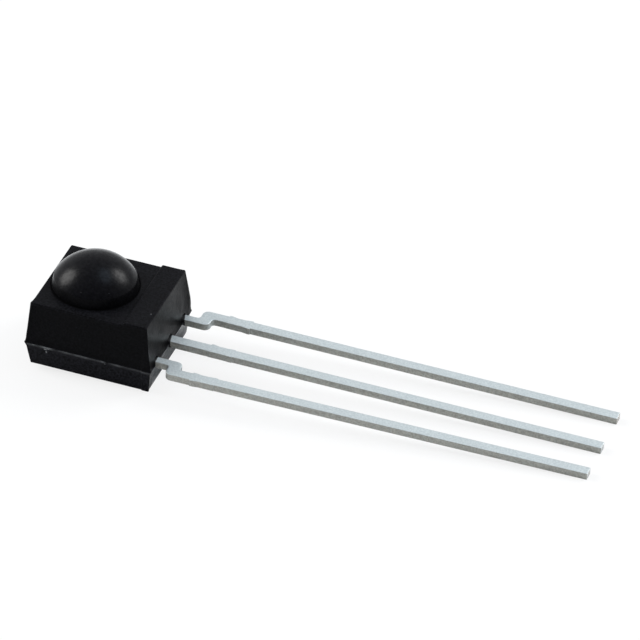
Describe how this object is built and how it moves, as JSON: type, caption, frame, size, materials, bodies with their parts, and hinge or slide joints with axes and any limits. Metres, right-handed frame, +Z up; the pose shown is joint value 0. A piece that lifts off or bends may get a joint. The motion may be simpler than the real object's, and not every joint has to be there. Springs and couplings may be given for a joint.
{
  "type": "infrared receiver module",
  "caption": "Through-hole infrared receiver: a dark moulded body with a domed lens on its face and a row of long tin-plated leads from one end.",
  "frame": {"origin": "middle of the footprint, on the surface that the part lies on", "axes": "+X along the leads, from the housing to the lead tips; +Y across the leads, towards the supply lead; +Z up, out of the lens side. The part lies on its back, tilted nose-down onto its lead tips."},
  "size_m": [0.0282, 0.0058, 0.0053],
  "materials": {
    "dark_epoxy": "near-black infrared-passing epoxy, matte as moulded, polished on the lens",
    "tin_plate": "dull tin plate over a stamped copper alloy strip",
    "silicon": "polished silicon",
    "die_adhesive": "silver-filled adhesive",
    "gold": "bright drawn gold wire"
  },
  "bodies": {
    "root": {"housing": "dark_epoxy", "output_lead": "tin_plate", "ground_lead": "tin_plate", "supply_lead": "tin_plate", "photodiode_chip": "silicon", "receiver_chip": "silicon", "photodiode_die_bond": "die_adhesive", "receiver_die_bond": "die_adhesive", "photodiode_wire": "gold", "output_wire": "gold", "supply_wire": "gold", "ground_wire": "gold"}
  },
  "joints": []
}
